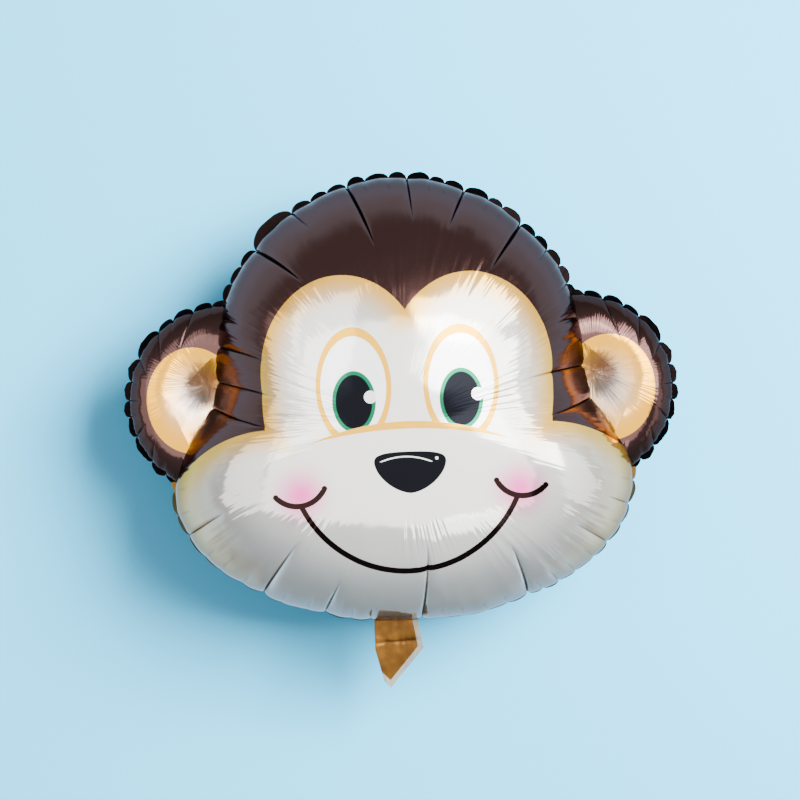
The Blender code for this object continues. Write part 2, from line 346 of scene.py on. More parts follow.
@dataclass
class Swelling:
    """One inflated form: a ball whose meridians run to its outline, seamed at its equator."""

    name: str
    outline: Field
    centre: Point
    thickness: float
    seam_height: float
    creases: Sequence[Crease]
    back_creases: Sequence[Crease]
    ruffle: Ruffle
    weld: SpotWeld
    front_side: FoilSide
    pitch: float
    front_rings: int
    back_rings: int
    bulge: Callable[[np.ndarray], np.ndarray]
    tuck: Callable[[np.ndarray], np.ndarray]
    wave_depth: float = 0.0005
    wave_start: float = 0.55
    fine_waves: tuple[int, ...] = (31, 43, 58, 71)
    fine_share: float = 0.6
    broad_waves: tuple[int, ...] = (9, 13, 19)
    broad_share: float = 1.2
    wrinkling: float = 1.0
    weld_unrest: float = 0.04
    weld_wrinkling: float = 1.3
    most_unrest: float = 1.5
    seam_shade: float = 0.95
    profile_power: float = 2.786
    print_spread: float = 0.0585
    print_centre: Point = (-0.001, 0.0205)
    spread_height: float = 0.1105
    crease_columns: tuple[float, ...] = (0.0, 0.0006, 0.0014, 0.0025, 0.0042, 0.0066)
    pucker_columns: tuple[float, ...] = (0.0, 0.0010, 0.0024)
    pucker_room: float = 0.5
    flaps: list[Flap] = field(init=False)
    angles: np.ndarray = field(init=False)

    def __post_init__(self) -> None:
        """Divide the seam into scallops and choose the directions of the columns."""
        self.flaps = self.ruffle.flaps(self.creases, self.reach_at)
        self.angles = self.column_angles()

    def reach_at(self, angle: float) -> float:
        """Return the distance to the seam in one direction in radians."""
        return float(edge_reach(self.outline, self.centre, np.array([angle]))[0])

    def column_angles(self) -> np.ndarray:
        """Return the columns' directions, close together at every crease and pucker."""
        marks = [(math.radians(crease.rim), self.crease_columns) for crease in self.creases]
        marks += [(flap.start, self.pucker_columns) for flap in self.flaps]
        wanted = []
        for angle, offsets in marks:
            reach = self.reach_at(angle)
            wanted += [angle + side * gap / reach for gap in offsets for side in (-1, 1)]
        wanted = sorted(angle % (2 * math.pi) for angle in wanted)
        kept = [wanted[0]]
        for angle in wanted[1:]:
            if (angle - kept[-1]) * self.reach_at(angle) > 0.9 * self.crease_columns[1]:
                kept.append(angle)
        columns = []
        for start, end in zip(kept, [*kept[1:], kept[0] + 2 * math.pi]):
            steps = max(1, math.ceil((end - start) * self.reach_at(start) / self.pitch))
            columns += [start + (end - start) * step / steps for step in range(steps)]
        return np.array(columns)

    def lay_grid(self, rings: int, creases: Sequence[Crease]) -> Grid:
        """Lay out one side of the smooth swelling, with columns that follow the creases.

        Args:
            rings: Number of rings from the middle to the seam.
            creases: Creases whose paths the columns follow.

        Returns:
            The grid, as if that side faced up.
        """
        out = np.sin(math.pi / 2 * np.arange(rings + 1) / rings)[:, None]
        rims = np.radians([crease.rim for crease in creases])
        swerves = [crease.swerve(out[:, 0]) for crease in creases]
        shifts = np.array(
            [np.interp(self.angles, rims, row, period=2 * math.pi) for row in zip(*swerves)]
        )
        turns = self.angles[None, :] + shifts
        reach = edge_reach(self.outline, self.centre, turns)
        x = self.centre[0] + out * reach * np.cos(turns)
        y = self.centre[1] + out * reach * np.sin(turns)
        height = np.sqrt(np.clip(1 - out**self.profile_power, 0, 1))
        z = self.thickness / 2 * height * np.ones_like(x)
        return Grid(out, turns, reach, np.stack([x, y, z], axis=-1))

    def creased(self, grid: Grid, creases: Sequence[Crease]) -> np.ndarray:
        """Shape one side of the foil, as if it faced up.

        Args:
            grid: The smooth side.
            creases: The creases and puckers of this side.

        Returns:
            The places of the points, with heights measured from the seam.
        """
        inward = np.zeros_like(grid.turns)
        for crease in creases:
            inward += crease.valley(grid)
        rise = np.clip((grid.out - self.wave_start) / (1 - self.wave_start), 0, 1) ** 2
        fine = ripple(grid.turns, self.fine_waves, self.ruffle.seed)
        broad = ripple(grid.turns, self.broad_waves, self.ruffle.seed + 1)
        inward += rise * self.wave_depth * (self.fine_share * fine + self.broad_share * broad)
        inward -= rise * self.bulge(grid.turns)
        x, y = grid.points[..., 0], grid.points[..., 1]
        inward += self.weld.wrinkles(x, y)
        shaped = grid.points - grid.outward() * inward[..., None]
        share = self.weld.share(shaped[..., 0], shaped[..., 1])
        shaped[..., 2] = np.maximum(shaped[..., 2] * share, self.ruffle.thickness / 2)
        shaped[-1, :, 2] = self.ruffle.thickness / 2
        return shaped

    def with_puckers(self, creases: Sequence[Crease]) -> list[Crease]:
        """Return the creases and a short pucker at the start of every scallop."""
        rims = [crease.rim % 360 for crease in creases]
        seam = self.ruffle
        extra = []
        for flap in self.flaps:
            turn = math.degrees(flap.start) % 360
            if min(abs((turn - rim + 180) % 360 - 180) for rim in rims) > self.pucker_room:
                depth = seam.pucker_depth * flap.size
                shape = (seam.pucker_start, depth, seam.pucker_fold, seam.pucker_hollow)
                extra.append(Crease(turn, turn, *shape))
        return list(creases) + extra

    def seam_edge(self) -> tuple[np.ndarray, np.ndarray]:
        """Return how far the scallops stand out of the foil, and how much they tip up."""
        stand = np.zeros_like(self.angles)
        tip = np.zeros_like(self.angles)
        root = self.ruffle.root_share
        for flap in self.flaps:
            share = ((self.angles - flap.start) % (2 * math.pi)) / (flap.end - flap.start)
            hump = np.sin(math.pi * np.clip(share, 0, 1)) ** 0.5
            inside = share < 1
            stand = np.where(inside, flap.size * (root + (1 - root) * hump), stand)
            tip = np.where(inside, flap.lift * hump, tip)
        keep = 1 - self.tuck(self.angles)
        return stand * keep * self.ruffle.width, tip * self.ruffle.lift

    def build(self) -> bpy.types.Object:
        """Make the mesh, with the place of every point on the printed sheet as its UV map.

        Returns:
            The object, not yet linked to a collection.
        """
        grid = self.lay_grid(self.front_rings, self.creases)
        rear = self.lay_grid(self.back_rings, self.back_creases)
        front = self.creased(grid, self.with_puckers(self.creases))
        back = self.creased(rear, self.with_puckers(self.back_creases))
        back[..., 2] *= -1
        stand, tip = self.seam_edge()
        heading = np.stack([np.cos(self.angles), np.sin(self.angles)], axis=-1)
        edge = front[-1].copy()
        edge[:, :2] += heading * stand[:, None]
        edge[:, 2] = tip
        half = np.array([0.0, 0.0, self.ruffle.thickness / 2])
        rows = [*front, edge + half, edge, edge - half, *back[::-1]]
        points = np.stack(rows)
        points[..., 2] = np.maximum(points[..., 2] + self.seam_height, 0.0)
        layers = {
            "sheet": self.sheet_places(grid, rear),
            "unrest": self.unrest(grid, rear),
            "folds": self.folds(grid, rear),
        }
        return self.wrap(points, layers)

    @staticmethod
    def rows(front: np.ndarray, seam: np.ndarray, back: np.ndarray) -> np.ndarray:
        """Return rows from the front's middle over the seam's three to the back's middle."""
        return np.stack([*front, seam, seam, seam, *back[::-1]])

    def sheet_places(self, grid: Grid, rear: Grid) -> np.ndarray:
        """Return where each row and column of the mesh lies on the flat printed sheet."""
        rows = self.rows(grid.points, grid.points[-1], rear.points)
        middle = np.array(self.print_centre)
        spread = 1 + self.print_spread * rows[..., 2:] / self.spread_height
        return middle + (rows[..., :2] - middle) * spread

    def unrest(self, grid: Grid, rear: Grid) -> np.ndarray:
        """Return how wrinkled the foil is in small, and how far out, at every point."""
        front = sum(crease.unrest(grid) for crease in self.creases)
        back = sum(crease.unrest(rear) for crease in self.back_creases)
        away = self.weld.distance(grid.points[..., 0], grid.points[..., 1])
        spot = self.weld_wrinkling * np.exp(-away / self.weld_unrest)
        front = self.wrinkling * front + spot
        rows = np.minimum(self.rows(front, front[-1], back), self.most_unrest)
        out = self.rows(grid.out, np.ones(1), rear.out)
        return np.stack([rows, out * np.ones_like(rows)], axis=-1)

    def folds(self, grid: Grid, rear: Grid) -> np.ndarray:
        """Return how much painted shade darkens the narrow folds and the seam at every point."""
        front = sum(crease.shade(grid) for crease in self.with_puckers(self.creases))
        back = sum(crease.shade(rear) for crease in self.with_puckers(self.back_creases))
        # Painted shade: the seam's scallops are darkened almost fully.
        edge = np.full_like(front[-1], self.seam_shade)
        front[-1] = back[-1] = edge
        rows = np.minimum(self.rows(front, edge, back), 1)
        return np.stack([rows, np.zeros_like(rows)], axis=-1)

    def wrap(self, points: np.ndarray, layers: dict[str, np.ndarray]) -> bpy.types.Object:
        """Move a ball's points to the shaped rows, and mark which print each face carries.

        Args:
            points: Place of each row's and column's point.
            layers: Values of each UV map by its name, for the same rows and columns.

        Returns:
            The object, not yet linked to a collection.
        """
        last = len(points) - 1
        count = len(self.angles)
        form = bmesh.new()
        for name in layers:
            form.loops.layers.uv.new(name)
        maps = {name: form.loops.layers.uv[name] for name in layers}
        bmesh.ops.create_uvsphere(form, u_segments=count, v_segments=last, radius=1)
        spot = {}
        for vert in form.verts:
            turn = math.atan2(vert.co.y, vert.co.x) / (2 * math.pi)
            fall = math.acos(max(-1.0, min(1.0, vert.co.z))) / math.pi
            spot[vert] = (round(fall * last), round(turn * count) % count)
        for vert, (row, column) in spot.items():
            vert.co = Vector(points[row, column].tolist())
        equator = self.front_rings + 2
        for face in form.faces:
            lowest = max(spot[vert][0] for vert in face.verts)
            face.material_index = (self.front_side if lowest <= equator else FoilSide.BACK).value
            for loop in face.loops:
                for name, values in layers.items():
                    loop[maps[name]].uv = values[spot[loop.vert]].tolist()
        return finished(form, self.name)


def finished(form: bmesh.types.BMesh, name: str) -> bpy.types.Object:
    """Return a new object with the form's mesh, and free the form."""
    mesh = bpy.data.meshes.new(name)
    form.to_mesh(mesh)
    form.free()
    return bpy.data.objects.new(name, mesh)


def put_in_scene(thing: bpy.types.Object) -> bpy.types.Object:
    """Link an object to the scene's collection and return it."""
    bpy.context.scene.collection.objects.link(thing)
    return thing


def mirrored(thing: bpy.types.Object, name: str) -> bpy.types.Object:
    """Return the mirror image of a mesh object in the plane x = 0, faces still outwards."""
    form = bmesh.new()
    form.from_mesh(thing.data)
    uv = form.loops.layers.uv["sheet"]
    bmesh.ops.scale(form, vec=(-1, 1, 1), verts=form.verts)
    bmesh.ops.reverse_faces(form, faces=form.faces)
    for face in form.faces:
        for loop in face.loops:
            loop[uv].uv.x *= -1
    return finished(form, name)


@dataclass
class FoilEnvelope:
    """The foil skin: the swollen head with both ears, sealed by the welded seam."""

    plan: Plan = Plan()
    weld: SpotWeld = SpotWeld()
    head_thickness: float = 0.225
    ear_thickness: float = 0.056
    rest_flattening: float = 0.002
    ruffle: Ruffle = Ruffle(broad=((116.0, 128.7, 1.45),))
    ear_ruffle: Ruffle = Ruffle(pitch=0.0175, seed=8)
    creases: tuple[Crease, ...] = (
        Crease(6, 1, 0.69, 0.0062),
        Crease(15.3, 18, 0.61, 0.0064),
        Crease(29, 31, 0.86, 0.0044),
        Crease(38, 38, 0.92, 0.0034),
        Crease(48, 48, 0.92, 0.0034),
        Crease(57, 58, 0.72, 0.0088),
        Crease(73, 74.7, 0.80, 0.0062),
        Crease(87, 85, 0.80, 0.0050),
        Crease(101.4, 96.3, 0.68, 0.0080),
        Crease(116, 113.4, 0.88, 0.0044),
        Crease(128.7, 122.9, 0.70, 0.0088),
        Crease(149, 147, 0.88, 0.0042),
        Crease(156, 153.7, 0.70, 0.0058),
        Crease(166, 166.4, 0.64, 0.0064),
        Crease(173.5, 180.5, 0.59, 0.0066),
        Crease(206, 205, 0.80, 0.0052),
        Crease(229, 227, 0.68, 0.0070),
        Crease(246, 247, 0.80, 0.0056),
        Crease(259, 259, 0.92, 0.0036),
        Crease(274, 280, 0.60, 0.0074),
        Crease(304.5, 310, 0.72, 0.0072),
        Crease(313, 313, 0.92, 0.0032),
        Crease(328, 328, 0.82, 0.0044),
        Crease(338.5, 338.5, 0.88, 0.0036),
    )
    ear_creases: tuple[Crease, ...] = tuple(
        Crease(rim, tip, start, depth, fold=0.0012, hollow=0.006)
        for rim, tip, start, depth in (
            (3, 3, 0.66, 0.0030),
            (28, 28, 0.78, 0.0024),
            (54, 52, 0.66, 0.0032),
            (81, 80, 0.58, 0.0034),
            (105, 104, 0.56, 0.0034),
            (180, 180, 0.90, 0.0005),
            (258, 260, 0.66, 0.0028),
            (290, 291, 0.74, 0.0026),
            (317, 318, 0.66, 0.0032),
            (341, 341, 0.78, 0.0024),
        )
    )
    lobe_bulge: float = 0.0012
    chin_bulge: float = 0.0018
    ear_bulge: float = 0.0008
    chin_tuck: float = 0.70
    tuck_spread: float = 1.6
    sharp_angle: float = 55.0

    @property
    def seam_height(self) -> float:
        """Height of the seam over the floor."""
        return self.head_thickness / 2 - self.rest_flattening

    def head_bulge(self, angles: np.ndarray) -> np.ndarray:
        """Return how far the lobes between creases swell over the seam: most at the chin."""
        return self.lobe_bulge + self.chin_bulge * np.clip(-np.sin(angles), 0, 1)

    def head_tuck(self, angles: np.ndarray) -> np.ndarray:
        """Return the share of the seam that the lobes hide: some of it round the chin."""
        return self.chin_tuck * np.clip(-np.sin(angles) * self.tuck_spread, 0, 1)

    def head(self) -> bpy.types.Object:
        """Make the head."""
        backs = tuple(Crease(c.rim, c.rim, c.start, c.depth) for c in self.creases)
        swelling = Swelling(
            name="foil_envelope_skin",
            outline=self.plan.head,
            centre=(0.0, 0.0),
            thickness=self.head_thickness,
            seam_height=self.seam_height,
            creases=self.creases,
            back_creases=backs,
            ruffle=self.ruffle,
            weld=self.weld,
            front_side=FoilSide.FACE,
            pitch=0.0030,
            front_rings=52,
            back_rings=26,
            bulge=self.head_bulge,
            tuck=self.head_tuck,
        )
        return swelling.build()

    def right_ear(self) -> bpy.types.Object:
        """Make the right ear, whose root reaches into the head."""
        level = np.array([0.0])
        temple = float(edge_reach(self.plan.head, (0.0, self.plan.ear.y), level)[0])
        tip = self.plan.ear.x + self.plan.ear.half_width
        swelling = Swelling(
            name="ear_skin",
            outline=self.plan.right_ear,
            centre=((temple + tip) / 2, self.plan.ear.y),
            thickness=self.ear_thickness,
            seam_height=self.seam_height,
            creases=self.ear_creases,
            back_creases=self.ear_creases,
            ruffle=self.ear_ruffle,
            weld=self.weld,
            front_side=FoilSide.EAR,
            pitch=0.0026,
            front_rings=24,
            back_rings=12,
            bulge=lambda angles: np.full_like(angles, self.ear_bulge),
            tuck=lambda angles: np.zeros_like(angles),
            wave_depth=0.0004,
            wrinkling=0.1,
            weld_unrest=0.014,
        )
        return swelling.build()

    def build(self, finishes: Sequence[bpy.types.Material]) -> bpy.types.Object:
        """Join head and ears into one closed skin and dress it.

        Args:
            finishes: Materials in the order of FoilSide.

        Returns:
            The finished piece.
        """
        head = put_in_scene(self.head())
        right = put_in_scene(self.right_ear())
        left = put_in_scene(mirrored(right, "ear_skin_left"))
        for part in (head, right, left):
            for finish in finishes:
                part.data.materials.append(finish)
        for ear in (right, left):
            joint = head.modifiers.new("join_" + ear.name, "BOOLEAN")
            joint.operation = "UNION"
            joint.solver = "EXACT"
            joint.material_mode = "INDEX"
            joint.object = ear
        seen = head.evaluated_get(bpy.context.evaluated_depsgraph_get())
        mesh = bpy.data.meshes.new_from_object(seen)
        for part in (head, right, left):
            bpy.data.objects.remove(part)
        mesh.shade_smooth()
        mesh.set_sharp_from_angle(angle=math.radians(self.sharp_angle))
        piece = put_in_scene(bpy.data.objects.new("printed_foil_skin", mesh))
        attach(piece, BODY)
        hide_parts("foil_envelope")
        return piece


@dataclass
class FillingValve:
    """The sleeve of film that hangs out of the seam below the chin."""

    thickness: float = 0.0006
    border: float = 0.0048
    cell: float = 0.0010
    shoulder_drop: float = 0.0265
    tip_from_left: float = 0.0135
    chamfer: float = 0.0060
    fold_drop: float = 0.0205
    fold_depth: float = 0.0016
    fold_width: float = 0.0022
    fold_slope: float = 0.04
    droop: float = 0.1
    crumple: float = 0.0007
    broad_crumple: tuple[float, float, float] = (70.0, 45.0, 3.1)
    small_crumple: tuple[float, float, float] = (190.0, 120.0, 7.7)
    spread: float = 0.0045
    spare_cells: int = 4

    def corners(self) -> list[Vector]:
        """Return the strip's outline in the plan, clockwise from its top left corner."""
        low, high = (Vector(corner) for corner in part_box("filling_valve"))
        left, right, top, bottom = low.x, high.x, high.y, low.y
        tip = left + self.tip_from_left
        plan = (
            (left, top),
            (right - self.spread, top),
            (right, top - self.shoulder_drop),
            (tip, bottom),
            (tip - self.chamfer, bottom + self.chamfer),
            (left, top - self.shoulder_drop),
        )
        return [Vector((x, y, 0.0)) for x, y in plan]

    @staticmethod
    def sides(corners: Sequence[Vector]) -> list[tuple[Vector, Vector]]:
        """Return a point on each side of the outline and the side's outward direction."""
        found = []
        for start, end in zip(corners, [*corners[1:], corners[0]]):
            along = (end - start).normalized()
            found.append((start, Vector((-along.y, along.x, 0.0))))
        return found

    def relief(self, x: float, y: float, top: float, middle: float) -> float:
        """Return the height of the creased film at a point of its plan."""
        across, along, place = self.broad_crumple
        bend = noise.noise(Vector((x * across, y * along, place))) * self.crumple * 2
        across, along, place = self.small_crumple
        small = noise.noise(Vector((x * across, y * along, place))) * self.crumple
        fold_line = top - self.fold_drop + self.fold_slope * (x - middle)
        fold = -self.fold_depth * math.exp(-abs(y - fold_line) / self.fold_width)
        droop = -self.droop * max(0.0, fold_line - y)
        return bend + small + fold + droop

    def build(self, film: bpy.types.Material, clear: bpy.types.Material) -> bpy.types.Object:
        """Make the strip with its clear welded border.

        Args:
            film: Material of the coloured sleeve.
            clear: Material of the clear border.

        Returns:
            The finished piece.
        """
        corners = self.corners()
        sides = self.sides(corners)
        low, high = (Vector(corner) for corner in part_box("filling_valve"))
        middle = (low + high) / 2
        form = bmesh.new()
        steps = round((high.y - low.y) / self.cell / 2) + self.spare_cells
        bmesh.ops.create_grid(
            form, x_segments=steps * 2, y_segments=steps * 2, size=steps * self.cell
        )
        bmesh.ops.translate(form, vec=(middle.x, middle.y, 0.0), verts=form.verts)
        for place, away in sides:
            everything = form.verts[:] + form.edges[:] + form.faces[:]
            bmesh.ops.bisect_plane(
                form, geom=everything, plane_co=place, plane_no=away, clear_outer=True
            )
        for place, away in sides[1:4]:
            everything = form.verts[:] + form.edges[:] + form.faces[:]
            line = place - away * self.border
            bmesh.ops.bisect_plane(form, geom=everything, plane_co=line, plane_no=away)
        for face in form.faces:
            spot = face.calc_center_median()
            depth = min((place - spot).dot(away) for place, away in sides[1:4])
            face.material_index = 1 if depth < self.border else 0
            face.smooth = True
        for vert in form.verts:
            vert.co.z = self.relief(vert.co.x, vert.co.y, corners[0].y, middle.x)
        bmesh.ops.solidify(form, geom=form.faces[:], thickness=self.thickness)
        bmesh.ops.recalc_face_normals(form, faces=form.faces)
        bmesh.ops.translate(form, vec=(0, 0, middle.z), verts=form.verts)
        piece = put_in_scene(finished(form, "valve_sleeve"))
        piece.data.materials.append(film)
        piece.data.materials.append(clear)
        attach(piece, BODY)
        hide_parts("filling_valve")
        return piece


class Value:
    """A number that a node puts out, which adds up and multiplies as a plain one does."""

    def __init__(self, canvas: "Canvas", socket: Socket) -> None:
        """Remember the output, and the canvas for the nodes made from it."""
        self.canvas = canvas
        self.socket = socket

    def __add__(self, other: "Value | float") -> "Value":
        """Return the sum."""
        return self.canvas.math("ADD", self, other)

    def __sub__(self, other: "Value | float") -> "Value":
        """Return the difference."""
        return self.canvas.math("SUBTRACT", self, other)

    def __rsub__(self, other: float) -> "Value":
        """Return a plain number less this one."""
        return self.canvas.math("SUBTRACT", other, self)

    def __mul__(self, other: "Value | float") -> "Value":
        """Return the product."""
        return self.canvas.math("MULTIPLY", self, other)

    def __truediv__(self, other: "Value | float") -> "Value":
        """Return the quotient."""
        return self.canvas.math("DIVIDE", self, other)

    def __rtruediv__(self, other: float) -> "Value":
        """Return a plain number divided by this one."""
        return self.canvas.math("DIVIDE", other, self)

    def __pow__(self, other: "Value | float") -> "Value":
        """Return the power."""
        return self.canvas.math("POWER", self, other)

    def __abs__(self) -> "Value":
        """Return the number without its sign."""
        return self.canvas.math("ABSOLUTE", self)

    def maximum(self, other: "Value | float") -> "Value":
        """Return the greater of the two."""
        return self.canvas.math("MAXIMUM", self, other)

    def minimum(self, other: "Value | float") -> "Value":
        """Return the smaller of the two."""
        return self.canvas.math("MINIMUM", self, other)


class Canvas:
    """Lays nodes out in one node tree and joins them."""

    def __init__(self, tree: bpy.types.NodeTree) -> None:
        """Remember the tree."""
        self.tree = tree
        self.placed = 0

    def add(self, kind: str) -> bpy.types.Node:
        """Place a new node of a kind and return it."""
        node = self.tree.nodes.new(kind)
        node.location = (220 * (self.placed % 12), -260 * (self.placed // 12))
        self.placed += 1
        return node

    def feed(self, target: Socket, value: Value | Socket | float | Colour) -> None:
        """Join an output to the target, or set the target's own value."""
        if isinstance(value, Value):
            value = value.socket
        if isinstance(value, bpy.types.NodeSocket):
            self.tree.links.new(value, target)
        else:
            target.default_value = value

    def math(self, operation: str, *values: Value | float) -> Value:
        """Return the result of a math node."""
        node = self.add("ShaderNodeMath")
        node.operation = operation
        for target, value in zip(node.inputs, values):
            self.feed(target, value)
        return Value(self, node.outputs[0])

    def ramp(self, value: Value | Socket, low: float, high: float) -> Value:
        """Return 0 below low and 1 above high, with a smooth rise between."""
        node = self.add("ShaderNodeMapRange")
        node.interpolation_type = "SMOOTHSTEP"
        self.feed(node.inputs["Value"], value)
        node.inputs["From Min"].default_value = low
        node.inputs["From Max"].default_value = high
        return Value(self, node.outputs["Result"])

    def mix(self, share: Value, first: Socket | Colour, second: Socket | Colour) -> Socket:
        """Return the colour first where share is 0 and second where it is 1."""
        node = self.add("ShaderNodeMix")
        node.data_type = "RGBA"
        self.feed(node.inputs[0], share)
        self.feed(node.inputs[6], first)
        self.feed(node.inputs[7], second)
        return node.outputs[2]

    def blend(self, share: Value, first: Value | float, second: Value | float) -> Value:
        """Return a number between first and second."""
        node = self.add("ShaderNodeMix")
        node.data_type = "FLOAT"
        self.feed(node.inputs[0], share)
        self.feed(node.inputs[2], first)
        self.feed(node.inputs[3], second)
        return Value(self, node.outputs[0])

    def apart(self, vector: Value | Socket) -> tuple[Value, Value]:
        """Return the x and y of a vector."""
        node = self.add("ShaderNodeSeparateXYZ")
        self.feed(node.inputs[0], vector)
        return Value(self, node.outputs[0]), Value(self, node.outputs[1])

    def together(self, x: Value, y: Value, z: Value | float = 0.0) -> Socket:
        """Return the vector of three numbers."""
        node = self.add("ShaderNodeCombineXYZ")
        for target, value in zip(node.inputs, (x, y, z)):
            self.feed(target, value)
        return node.outputs[0]

    def noise(self, vector: Socket, scale: float, detail: float) -> Value:
        """Return a noise between 0 and 1."""
        node = self.add("ShaderNodeTexNoise")
        self.feed(node.inputs["Vector"], vector)
        node.inputs["Scale"].default_value = scale
        node.inputs["Detail"].default_value = detail
        return Value(self, node.outputs[0])

    def bump(self, height: Value, strength: float, distance: float) -> Socket:
        """Return the normal of a surface with small heights on it."""
        node = self.add("ShaderNodeBump")
        node.inputs["Strength"].default_value = strength
        node.inputs["Distance"].default_value = distance
        self.feed(node.inputs["Height"], height)
        return node.outputs[0]

    def length(self, x: Value, y: Value) -> Value:
        """Return the length of a vector of two numbers."""
        return self.math("SQRT", x * x + y * y)

    def group(self, tree: bpy.types.NodeTree, **values: Value | Socket | float) -> dict[str, Value]:
        """Place a node group, set its inputs by name, and return its outputs by name."""
        node = self.add("ShaderNodeGroup")
        node.node_tree = tree
        for name, value in values.items():
            self.feed(node.inputs[name], value)
        return {socket.name: Value(self, socket) for socket in node.outputs}


class Group(Canvas):
    """A new node group that takes a Place and some numbers, and puts out numbers."""

    def __init__(self, name: str, numbers: Sequence[str], results: Sequence[str]) -> None:
        """Make the group's sockets and place its input node.

        Args:
            name: The group's name.
            numbers: Names of the inputs beside Place.
            results: Names of the outputs.
        """
        super().__init__(bpy.data.node_groups.new(name, "ShaderNodeTree"))
        sockets = [("Place", "INPUT", "NodeSocketVector")]
        sockets += [(label, "INPUT", "NodeSocketFloat") for label in numbers]
        sockets += [(label, "OUTPUT", "NodeSocketFloat") for label in results]
        for label, direction, kind in sockets:
            self.tree.interface.new_socket(label, in_out=direction, socket_type=kind)
        sources = self.add("NodeGroupInput").outputs
        self.given = {socket.name: Value(self, socket) for socket in sources}

    def put_out(self, **results: Value) -> bpy.types.NodeTree:
        """Join the results to the group's outputs by name and return the group's tree."""
        node = self.add("NodeGroupOutput")
        for name, value in results.items():
            self.feed(node.inputs[name], value)
        return self.tree


class PrintShapes:
    """Node groups for the flat shapes that the print is made of, in millimetres."""

    edge: float = 0.22
    streak_count: float = 30.0
    streak_stretch: float = 0.020
    soft_scale: float = 0.03
    soft_height: float = 0.55
    patch_range: Point = (0.46, 0.64)
    patch_out: Point = (0.62, 0.92)
    patch_height: float = 0.60
    unrest_height: float = 0.9
    haze_scale: float = 0.35

    def __init__(self) -> None:
        """Build each group once."""
        self.oval = self.oval_group()
        self.arc = self.arc_group()
        self.streaks = self.streak_group()

    def oval_group(self) -> bpy.types.NodeTree:
        """Return a group whose Depth is the distance inside an oval's edge."""
        canvas = Group("print_oval", ("X", "Y", "Width", "Height"), ("Depth", "Inside"))
        given = canvas.given
        x, y = canvas.apart(given["Place"])
        across = (x - given["X"]) / given["Width"]
        upward = (y - given["Y"]) / given["Height"]
        least = given["Width"].minimum(given["Height"])
        depth = (1 - canvas.length(across, upward)) * least
        return canvas.put_out(Depth=depth, Inside=canvas.ramp(depth, -self.edge, self.edge))

    def arc_group(self) -> bpy.types.NodeTree:
        """Return a group whose Inside is a stroke along one side of a circle.

        Way is 1 for the part above Level and -1 for the part below it. Slope tips the level
        line, and Taper is the length over which the stroke's end rounds off.
        """
        names = ("X", "Y", "Radius", "Half", "Level", "Slope", "Way", "Taper")
        canvas = Group("print_arc", names, ("Inside",))
        given = canvas.given
        x, y = canvas.apart(given["Place"])
        dx, dy = x - given["X"], y - given["Y"]
        off = abs(canvas.length(dx, dy) - given["Radius"])
        past = (dx * given["Slope"] + y - given["Level"]) * given["Way"]
        short = 1 - (past / given["Taper"]).maximum(0.0).minimum(1.0)
        cap = canvas.math("SQRT", 1 - short * short)
        depth = (given["Half"] * cap - off).minimum(past)
        return canvas.put_out(Inside=canvas.ramp(depth, -self.edge, self.edge))

    def streak_group(self) -> bpy.types.NodeTree:
        """Return a group that puts out the fine wrinkles of the foil.

        Place is measured from the point that the wrinkles run towards, Unrest says how many
        there are, and Out is the share of the way to the seam.
        """
        canvas = Group("foil_streaks", ("Unrest", "Out"), ("Height", "Haze"))
        given = canvas.given
        x, y = canvas.apart(given["Place"])
        away = canvas.length(x, y)
        safe = away.maximum(1.0)
        comb = canvas.together(
            x / safe * self.streak_count,
            y / safe * self.streak_count,
            away * self.streak_stretch,
        )
        flat = canvas.together(x, y)
        soft = canvas.noise(flat, self.soft_scale, 1.0)
        patches = canvas.ramp(soft, *self.patch_range)
        share = patches * canvas.ramp(given["Out"], *self.patch_out) * self.patch_height
        share = given["Unrest"] * self.unrest_height + share
        height = soft * self.soft_height + canvas.noise(comb, 1.0, 1.0) * share
        return canvas.put_out(Height=height, Haze=canvas.noise(flat, self.haze_scale, 3.0))


def new_material(name: str) -> tuple[bpy.types.Material, Canvas, bpy.types.Node]:
    """Return a new material, a canvas for its nodes, and its Principled shader."""
    material = bpy.data.materials.new(name)
    material.use_nodes = True
    tree = material.node_tree
    return material, Canvas(tree), tree.nodes["Principled BSDF"]


@dataclass(frozen=True)
class Inks:
    """Colours of the print on the foil, as linear light, and shadow, the colour of the painted
    shade in folds, at the seam and towards the rim.
    """

    brown: Colour = (0.122, 0.061, 0.054, 1.0)
    gold: Colour = (1.0, 0.53, 0.065, 1.0)
    cream: Colour = (0.80, 0.785, 0.73, 1.0)
    white: Colour = (0.96, 0.96, 0.96, 1.0)
    ring: Colour = (0.80, 0.41, 0.015, 1.0)
    green: Colour = (0.0, 0.170, 0.075, 1.0)
    black: Colour = (0.0040, 0.0045, 0.0070, 1.0)
    line: Colour = (0.0200, 0.0085, 0.0075, 1.0)
    pink: Colour = (0.94, 0.09, 0.43, 1.0)
    silver: Colour = (0.48, 0.385, 0.325, 1.0)
    patch_gold: Colour = (0.82, 0.375, 0.012, 1.0)
    # Painted shade colour, not an ink: folds, seam and rim are darkened towards it.
    shadow: Colour = (0.0012, 0.0010, 0.0011, 1.0)


